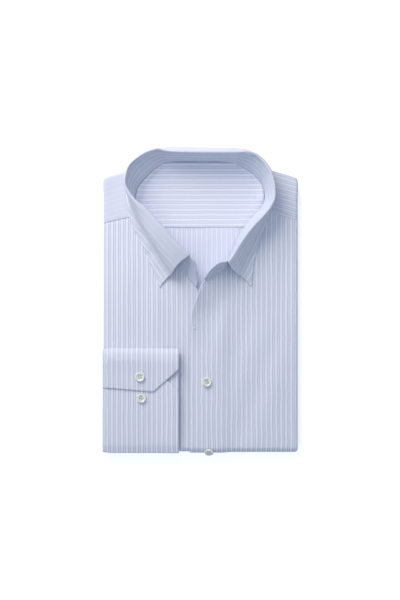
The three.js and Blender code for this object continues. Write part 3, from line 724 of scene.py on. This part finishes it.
def leafPlace(u, v):
    line, far, along = leafSection(u)
    point, down = line.at(v)
    rightEnd = leaf["dip"]["right"] * (1 - smooth(0, 0.07, u)) * math.sin(math.pi * clamp((v - 0.1) / 0.5))
    leftEnd = leaf["dip"]["left"] * smooth(0.92, 1, u) * math.sin(math.pi * clamp((v - 0.06) / 0.94) ** 0.7)
    crisp = 0.1 * smooth(0.45, 0.55, u)  # the stripes show a little further up on the left side
    fade = 0.85 * (1 - smooth(0.26 - crisp, 0.48 - crisp, v))
    return point + along * (rightEnd + leftEnd), (down, far), fade


collarBand, area = makeCloth(
    "collarBandCloth", bandPlace, band["columns"], band["rows"], collar["stand"], bandClothPaintedShade, offset=0,
)
declare(["collar_stand"])
collarLeaf, area = makeCloth(
    "collarLeafCloth", leafPlace, leaf["columns"], leaf["rows"], collar["leaf"], pressedClothPaintedShade, offset=0,
)
declare(["collar_leaf"])
print("collar made")


# Cuff and sleeve

cuff = {
    "wall": 1.3, "lift": 0.4, "left": -112.2, "right": -25.8, "top": -57.9, "bottom": -183.6,
    "overEnd": (-105.3, -110.1), "underEnd": -81.0, "cutAcross": 31.0, "cutUp": 27.4,
    "droop": 1.9, "rest": -173.0, "puff": 1.5, "edgeLift": 2.8, "columns": 30,
}
sleeve = {"wall": 1.5, "out": -118.2, "low": 0.6, "shoulder": 11.0}
cuffLayer = cuff["wall"] + cuff["lift"]
cuffBend = (cuffLayer + cuff["wall"]) / 2
cuffLow = shirt["thickness"] + shirt["gap"]


def cuffRight(fromEnd):
    return cuff["right"] - cuff["cutAcross"] * (1 - clamp(fromEnd / cuff["cutUp"]))


def cuffLoop():
    # the loop from the under end to the over end: height up the shirt, height off it, and how far
    # right it reaches there
    full, bend = cuff["right"], cuffBend
    bottomMid, topMid = cuff["bottom"] + bend, cuff["top"] - bend
    rows = []
    for k in range(29):
        y = mix(cuff["underEnd"], bottomMid, k / 28)
        rows.append((y, cuffLow + 2 * bend, cuffRight(cuff["underEnd"] - y)))
    for k in range(1, 9):
        a = math.pi * k / 8
        rows.append((bottomMid - bend * math.sin(a), cuffLow + bend + bend * math.cos(a), full))
    for k in range(1, 25):
        rows.append((mix(bottomMid, topMid, k / 24), cuffLow, full))
    for k in range(1, 9):
        a = math.pi * k / 8
        rows.append((topMid + bend * math.sin(a), cuffLow + bend - bend * math.cos(a), full))
    for k in range(1, 25):
        y = mix(topMid, cuff["overEnd"][1], k / 24)
        top = cuffLow + 2 * bend + cuffLayer * smooth(topMid, cuff["underEnd"] + 6, y)
        rows.append((y, top, cuffRight(y - cuff["overEnd"][1])))
    return rows


cuffRows = cuffLoop()
cuffFirst = len(cuffRows) - 24  # where the over end starts
cuffFar = [0.0]
for before, after in zip(cuffRows, cuffRows[1:]):
    cuffFar.append(cuffFar[-1] + math.hypot(after[0] - before[0], after[1] - before[1]))


def cuffPlace(u, v):
    row = u * (len(cuffRows) - 1)
    k = min(int(row), len(cuffRows) - 2)
    y, z, right = (mix(a, b, row - k) for a, b in zip(cuffRows[k], cuffRows[k + 1]))
    x = mix(cuff["left"], right, v)
    top = cuff["top"]
    if row > cuffFirst - 8:
        z += cuff["puff"] * smooth(top - 1, top - 6, y) * (1 - smooth(top - 7, cuff["overEnd"][0] + 8, y))
    if row > cuffFirst - 1:
        down = (row - cuffFirst + 1) / 24
        y += (cuff["overEnd"][0] - cuff["overEnd"][1]) * (1 - v) * down
    z += cuff["edgeLift"] * smooth(cuff["right"] - 34, cuff["right"], x) - cuff["droop"] * smooth(
        cuff["rest"], cuff["bottom"], y
    )
    return (x, y, z), (x, mix(cuffFar[k], cuffFar[k + 1], row - k))


def cuffHeight(y):
    # the top of the cuff at its left end
    over = smooth(cuff["overEnd"][0] - 0.3, cuff["overEnd"][0] + 0.3, y)
    top = cuff["top"]
    puff = cuff["puff"] * smooth(top - 1, top - 6, y) * (1 - smooth(top - 7, cuff["overEnd"][0] + 8, y))
    droop = cuff["droop"] * smooth(cuff["rest"], cuff["bottom"], y)
    bottom = cuff["bottom"]
    edge = 1.6 * (1 - smooth(top, top - 1.8, y)) + 1.4 * (1 - smooth(bottom, bottom + 1.8, y))
    return cuffLow + 2 * cuffBend + cuffLayer * over * smooth(top - 1, -75, y) + puff - droop - edge


def sleevePlace(u, v):
    start = cuff["left"] + 0.2
    wide, turn = start - sleeve["out"], 0.75
    edge = cuff["overEnd"][0]
    ends = [cuff["top"] - 0.2, edge + 0.3, edge - 0.3, cuff["bottom"] + 0.3]
    shares = [0, 0.4, 0.425, 1]  # the rows crowd together where the over end steps down
    k = next(k for k in (1, 2, 3) if u <= shares[k])
    y = mix(ends[k - 1], ends[k], (u - shares[k - 1]) / (shares[k] - shares[k - 1]))
    if v < turn:
        a = v / turn * math.pi / 2
        z = sleeve["shoulder"] + (cuffHeight(y) - sleeve["shoulder"]) * math.cos(a) ** 0.6
        return (start - wide * math.sin(a), y, z), (start - 9.5 * v / turn, y)
    z = mix(sleeve["shoulder"], sleeve["low"], (v - turn) / (1 - turn))
    return (sleeve["out"], y, z), (start - 9.5 - sleeve["shoulder"] + z, y)


cuffPiece, area = makeCloth(
    "cuffCloth", cuffPlace, len(cuffRows) - 1, cuff["columns"], cuff["wall"], cuffStripesPaintedShade,
)
declare(["cuff"])
sleevePiece, area = makeCloth("sleeveCloth", sleevePlace, 80, 16, sleeve["wall"], cuffStripesPaintedShade, outside=-1)
declare(["sleeve"])
print("cuff and sleeve made")


# The hidden layers, folded one on the other

layers = {
    "inset": [(2.0, 8.6, 5.0), (1.2, 5.4, 3.4), (2.8, 6.2, 4.4)],  # side, bottom, shoulder of each layer
    "low": [0.0, 3.5, 7.0],
    "high": [3.3, 6.8, 10.0],
}


def layerOutline(side, bottom, shoulder):
    half = shirt["halfWidth"] - side
    low = shirt["bottomY"] + bottom
    corner = 3.0
    points = [(-half, low + corner), (-half + corner, low), (half - corner, low), (half, low + corner)]
    across = 2 * (half - corner)
    top = [half - corner - across * k / 24 for k in range(25)]
    points.append((half, shoulderFold(top[0]) - shoulder - corner))
    points.extend((x, shoulderFold(x) - shoulder) for x in top)
    points.append((-half, shoulderFold(top[-1]) - shoulder - corner))
    return points


def makeLayers():
    bm = bmesh.new()
    uv = bm.loops.layers.uv.new("cloth")
    for inset, low, high in zip(layers["inset"], layers["low"], layers["high"]):
        rim = [bm.verts.new(toFrame((x, y, low))) for x, y in layerOutline(*inset)]
        base = bmesh.ops.contextual_create(bm, geom=rim)["faces"]
        raised = bmesh.ops.extrude_face_region(bm, geom=base, use_keep_orig=True)["geom"]
        top = [v for v in raised if isinstance(v, bmesh.types.BMVert)]
        bmesh.ops.translate(bm, verts=top, vec=(0, 0, (high - low) / 1000))
        shell = set(rim + top)
        faces = [f for f in bm.faces if shell.issuperset(f.verts)]
        bmesh.ops.recalc_face_normals(bm, faces=faces)
        flatFaces = [f for f in faces if abs(f.normal.z) > 0.9]
        edges = list({e for f in flatFaces for e in f.edges})
        bmesh.ops.bevel(
            bm, geom=edges, offset=(high - low) * 0.48 / 1000, affect="EDGES", segments=5, profile=0.5,
            material=-1,
        )
    for face in bm.faces:
        for loop in face.loops:
            co = loop.vert.co
            loop[uv].uv = (co.x + co.z * (1 if co.x > 0 else -1), co.y)
    area = sum(face.calc_area() for face in bm.faces) / 2
    return newPiece("foldedLayers", bm, stripedCloth), area


foldedLayers, area = makeLayers()
declare(["folded_core"])
print("hidden layers made")


# Buttons

button = {
    "radius": 5.7, "height": 2.3, "rim": 0.9, "dish": 4.1, "hole": 0.75, "pitch": 1.25, "steps": 56,
    "strand": (0.36, 0.14), "strandsApart": 0.22, "arch": 0.45,  # the thread that holds it
}
cuffTop = cuffLow + shirt["gap"] + 2 * cuff["wall"] + cuff["lift"]
hemButton = {"x": 10.3, "tilt": 48}  # it lies on the bottom fold
hemSeat = hemFold("left", hemButton["x"], math.radians(hemButton["tilt"]), -shirt["gap"])
buttonSeats = {
    "buttonFront": {"node": "button_front", "seat": (7.8, -98.1, 16.9), "turn": 20},
    "buttonCuffOuter": {
        "node": "button_cuff_outer", "seat": (-72.4, -92, cuffTop + cuffLayer), "turn": 4,
    },
    "buttonCuffInner": {
        "node": "button_cuff_inner", "seat": (-70.7, -117.4, cuffTop), "turn": 45, "crossed": True,
    },
    "buttonHem": {"node": "button_hem", "seat": hemSeat, "turn": 10, "tilt": hemButton["tilt"]},
}


def buttonBody():
    r, h, dish = button["radius"], button["height"], button["dish"]
    profile = [
        (0, 0), (r - 1.2, 0), (r - 0.4, 0.25), (r, button["rim"]), (r, h - 0.8), (r - 0.35, h - 0.2),
        (r - 0.9, h), (dish + 0.2, h - 0.12), (dish - 0.4, h - 0.5), (dish - 1.2, h - 0.85), (0, h - 1),
    ]
    bm = bmesh.new()
    verts = [bm.verts.new((x / 1000, 0, z / 1000)) for x, z in profile]
    edges = [bm.edges.new(pair) for pair in zip(verts, verts[1:])]
    bmesh.ops.spin(
        bm, geom=verts + edges, cent=(0, 0, 0), axis=(0, 0, 1), angle=2 * math.pi,
        steps=button["steps"], use_merge=True,
    )
    bmesh.ops.remove_doubles(bm, verts=bm.verts, dist=1e-6)
    bmesh.ops.recalc_face_normals(bm, faces=bm.faces)
    return bm


def buttonHoles():
    bm = bmesh.new()
    for i, j in ((1, 1), (1, -1), (-1, 1), (-1, -1)):
        place = Matrix.Translation((i * button["pitch"] / 1000, j * button["pitch"] / 1000, 0.001))
        bmesh.ops.create_cone(
            bm, cap_ends=True, segments=20, radius1=button["hole"] / 1000, radius2=button["hole"] / 1000,
            depth=0.01, matrix=place,
        )
    return bm


def looseObject(name, bm):
    mesh = bpy.data.meshes.new(name)
    bm.to_mesh(mesh)
    bm.free()
    made = bpy.data.objects.new(name, mesh)
    bpy.context.scene.collection.objects.link(made)
    return made


def drilledButton():
    body, holes = looseObject("buttonBlank", buttonBody()), looseObject("buttonDrill", buttonHoles())
    cut = body.modifiers.new("holes", "BOOLEAN")
    cut.object = holes
    cut.solver = "EXACT"
    graph = bpy.context.evaluated_depsgraph_get()
    mesh = bpy.data.meshes.new_from_object(body.evaluated_get(graph))
    bpy.data.objects.remove(body)
    bpy.data.objects.remove(holes)
    return mesh


def threadBars(bm, crossed):
    # the sewing thread: two bars of three strands, lying over the button between its holes
    pitch, top = button["pitch"], button["height"] - 0.85
    long, thick = button["strand"]
    if crossed:
        pairs = [((-1, -1), (1, 1)), ((-1, 1), (1, -1))]
    else:
        pairs = [((-1, -1), (1, -1)), ((-1, 1), (1, 1))]
    for level, ends in enumerate(pairs):
        a, b = (Vector((x * pitch, y * pitch, 0)) for x, y in ends)
        aside = (b - a).normalized().cross(Vector((0, 0, 1)))
        for strand in (-1, 0, 1):
            for k in range(7):
                w = (k + 0.5) / 7
                arch = button["arch"] * math.sin(math.pi * w) + 0.15 * level * crossed
                spot = a.lerp(b, w) + aside * strand * button["strandsApart"]
                matrix = (
                    Matrix.Translation(Vector((spot.x, spot.y, top + arch)) / 1000)
                    @ (b - a).to_track_quat("X", "Z").to_matrix().to_4x4()
                    @ Matrix.Diagonal((long / 1000, thick / 1000, thick / 1000, 1))
                )
                bmesh.ops.create_uvsphere(bm, u_segments=8, v_segments=6, radius=1, matrix=matrix)


blank = drilledButton()
for name, row in buttonSeats.items():
    place = (
        Matrix.Translation(toFrame(row["seat"]))
        @ Matrix.Rotation(math.radians(row.get("tilt", 0)), 4, "X")
        @ Matrix.Rotation(math.radians(row["turn"]), 4, "Z")
    )
    bm = bmesh.new()
    bm.from_mesh(blank)
    bmesh.ops.transform(bm, matrix=place, verts=bm.verts)
    piece = newPiece(name, bm, pearlButton)
    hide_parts(row["node"])
    thread = bmesh.new()
    threadBars(thread, row.get("crossed", False))
    bmesh.ops.transform(thread, matrix=place, verts=thread.verts)
    newPiece(name.replace("button", "thread"), thread, sewingThread)
print("buttons made")


# Stitches and buttonholes

stitch = {
    "every": 2.6, "long": 1.9, "wide": 0.42, "fromEdge": 5.5,
    "hole": {"every": 0.45, "aside": 0.55, "size": (1.1, 0.45, 0.42), "bar": (3.6, 1.2, 0.9)},
    "standRows": (0.2, 0.3), "yokeRows": (0.010, 0.024, 0.976, 0.990), "insideRows": (0.02, 0.045),
    "frontWidth": 124.0,
    "cuffHole": {"spot": (-71.6, -88.0), "long": 11},
    "frontHoles": [
        {"spot": (-7.2, -30.7), "fromEdge": 4.8, "long": 4.8},
        {"spot": (7.8, -101.0), "fromEdge": 20, "long": 12},
    ],
}


def onSurface(place, u, v, lift=0.05):
    step = 1e-3
    u, v = min(1 - step, max(step, u)), min(1 - step, max(step, v))
    alongU = Vector(place(u + step, v)[0]) - Vector(place(u - step, v)[0])
    alongV = Vector(place(u, v + step)[0]) - Vector(place(u, v - step)[0])
    outward = alongU.cross(alongV).normalized()
    return Vector(place(u, v)[0]) + outward * (lift if outward.z > 0 else -lift)


def threadBead(bm, spot, direction, size):
    turned = direction.to_track_quat("X", "Z").to_matrix().to_4x4()
    matrix = Matrix.Translation(toFrame(spot)) @ turned @ Matrix.Diagonal((*(v / 2000 for v in size), 1))
    bmesh.ops.create_uvsphere(bm, u_segments=8, v_segments=5, radius=1, matrix=matrix)


def addPart(bm, part):
    # joining small parts is much quicker than making every bead in one large mesh
    mesh = bpy.data.meshes.new("part")
    part.to_mesh(mesh)
    part.free()
    bm.from_mesh(mesh)
    bpy.data.meshes.remove(mesh)


def sewAlong(bm, points):
    line = EvenLine(points)
    count = int(line.length / stitch["every"])
    part = bmesh.new()
    for k in range(count):
        spot, ahead = line.at((k + 0.4) / count)[0], line.at((k + 0.6) / count)[0]
        threadBead(part, spot, ahead - spot, (stitch["long"], stitch["wide"], stitch["wide"]))
        if k % 20 == 19 or k == count - 1:
            addPart(bm, part)
            part = bmesh.new()
    part.free()


def sewOn(bm, place, path, lift=0.05):
    sewAlong(bm, [onSurface(place, u, v, lift) for u, v in path])


def buttonhole(bm, middle, length):
    # two ridges of close stitches round the slit, and a bar at each end
    hole, middle = stitch["hole"], Vector(middle)
    along, across = Vector((0, 1, 0)), Vector((1, 0, 0))
    part = bmesh.new()
    count = int(length / hole["every"])
    for k in range(count):
        spot = middle + along * length * ((k + 0.5) / count - 0.5)
        for side in (-1, 1):
            threadBead(part, spot + across * side * hole["aside"], across, hole["size"])
    for end in (-1, 1):
        threadBead(part, middle + up * 0.2 + along * end * (length / 2 + 0.3), across, hole["bar"])
    addPart(bm, part)


def alongLeafEdge(inset):
    shares = [mix(0.014, 0.986, k / 160) for k in range(161)]
    return [(u, 1 - inset / leafSection(u)[0].length) for u in shares]


def sewCollar():
    bm = bmesh.new()
    inset, lift = stitch["fromEdge"], collar["leaf"] / 2
    along = alongLeafEdge(inset)
    sewOn(bm, leafPlace, along, lift)
    for u in (along[0][0], along[-1][0]):
        low = 1 - inset / leafSection(u)[0].length
        sewOn(bm, leafPlace, [(u, mix(0.2, low, k / 20)) for k in range(21)], lift)
    for v in stitch["standRows"]:
        sewOn(bm, bandPlace, [(mix(0.2, 0.8, k / 160), v) for k in range(161)], collar["stand"] / 2)
    return newPiece("collarStitches", bm, sewingThread)


def sewCuff():
    bm = bmesh.new()
    last = len(cuffRows) - 1
    wide = cuff["right"] - cuff["left"]

    def fromRight(k):
        return 1 - stitch["fromEdge"] / (cuffRows[k][2] - cuff["left"])

    lowest = cuff["overEnd"][1] + stitch["fromEdge"]
    lastRow = next(k for k in range(cuffFirst, last + 1) if cuffRows[k][0] < lowest)
    over = [(k / last, fromRight(k)) for k in range(cuffFirst, lastRow)]
    over += [(over[-1][0], over[-1][1] * (1 - k / 20)) for k in range(1, 20)]
    sewOn(bm, cuffPlace, over)
    under = [(k / last, 1 - stitch["fromEdge"] / wide) for k in range(7, 28)]
    sewOn(bm, cuffPlace, under)
    x, y = stitch["cuffHole"]["spot"]
    row = next(k for k in range(cuffFirst, last) if cuffRows[k][0] < y)
    buttonhole(bm, (x, y, cuffRows[row][1] + 0.15), stitch["cuffHole"]["long"])
    return newPiece("cuffStitches", bm, sewingThread)


def sewBody():
    bm = bmesh.new()
    place = outerYokePlace()
    for u in stitch["yokeRows"]:
        sewOn(bm, place, [(u, mix(0.12, 0.72, k / 20)) for k in range(21)])
    for v in stitch["insideRows"]:
        sewOn(bm, innerYokePlace, [(mix(0.02, 0.98, k / 60), v) for k in range(61)])
    share = stitch["fromEdge"] / stitch["frontWidth"]
    hem = fronts["hemRows"] / fronts["rows"]
    sewOn(bm, frontPlaces["left"], [(share, mix(hem + 0.01, 0.86, k / 120)) for k in range(121)])
    for hole in stitch["frontHoles"]:
        x, y = hole["spot"]
        buttonhole(bm, (x, y, frontTop("left", x, y, hole["fromEdge"]) + 0.12), hole["long"])
    return newPiece("bodyStitches", bm, sewingThread)


for piece in (sewCollar(), sewCuff(), sewBody()):
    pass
print("stitches made")


# Floor, light and camera

studio = {
    "camera": (0.0003, 0.00184, 1.617), "lens": 80.0, "sensor": 36.0,
    "air": (0.82, 0.92, 1.07, 1), "airStrength": 0.48, "floorGlow": 0.55,
    "lights": {
        "key": {"place": (-0.46, 0.87, 0.655), "size": 0.85, "power": 11.9, "colour": (1.02, 0.955, 0.875)},
        "fill": {"place": (-0.9, -0.9, 1.6), "size": 1.4, "power": 3, "colour": (1, 1, 1)},
    },
}


def makeFloor():
    material = bpy.data.materials.new("paleFloor")
    material.use_nodes = True
    shader = material.node_tree.nodes["Principled BSDF"]
    shader.inputs["Base Color"].default_value = (0.93, 0.93, 0.93, 1)
    shader.inputs["Roughness"].default_value = 0.9
    shader.inputs["Emission Color"].default_value = (1, 1, 1, 1)
    shader.inputs["Emission Strength"].default_value = studio["floorGlow"]
    bm = bmesh.new()
    bmesh.ops.create_grid(bm, x_segments=1, y_segments=1, size=6)
    floor = looseObject("floor", bm)
    floor.data.materials.append(material)
    floor.visible_diffuse = False  # the bright floor does not light the sides of the shirt


def makeLight(name, row):
    light = bpy.data.lights.new(name, "AREA")
    light.shape = "DISK"
    light.size = row["size"]
    light.energy = row["power"]
    light.color = row["colour"]
    lamp = bpy.data.objects.new(name, light)
    bpy.context.scene.collection.objects.link(lamp)
    lamp.location = row["place"]
    lamp.rotation_euler = (-Vector(row["place"])).to_track_quat("-Z", "Y").to_euler()  # it faces the shirt


def makeStudio():
    world = bpy.data.worlds.new("studio")
    world.use_nodes = True
    world.node_tree.nodes["Background"].inputs[0].default_value = studio["air"]
    world.node_tree.nodes["Background"].inputs[1].default_value = studio["airStrength"]
    bpy.context.scene.world = world
    for name, row in studio["lights"].items():
        makeLight(name, row)
    camera = bpy.data.cameras.new("camera")
    camera.lens = studio["lens"]
    camera.sensor_width = studio["sensor"]
    eye = bpy.data.objects.new("camera", camera)
    eye.location = studio["camera"]
    bpy.context.scene.collection.objects.link(eye)
    bpy.context.scene.camera = eye
    bpy.context.scene.view_settings.view_transform = "Standard"


makeFloor()
makeStudio()
print("studio ready")
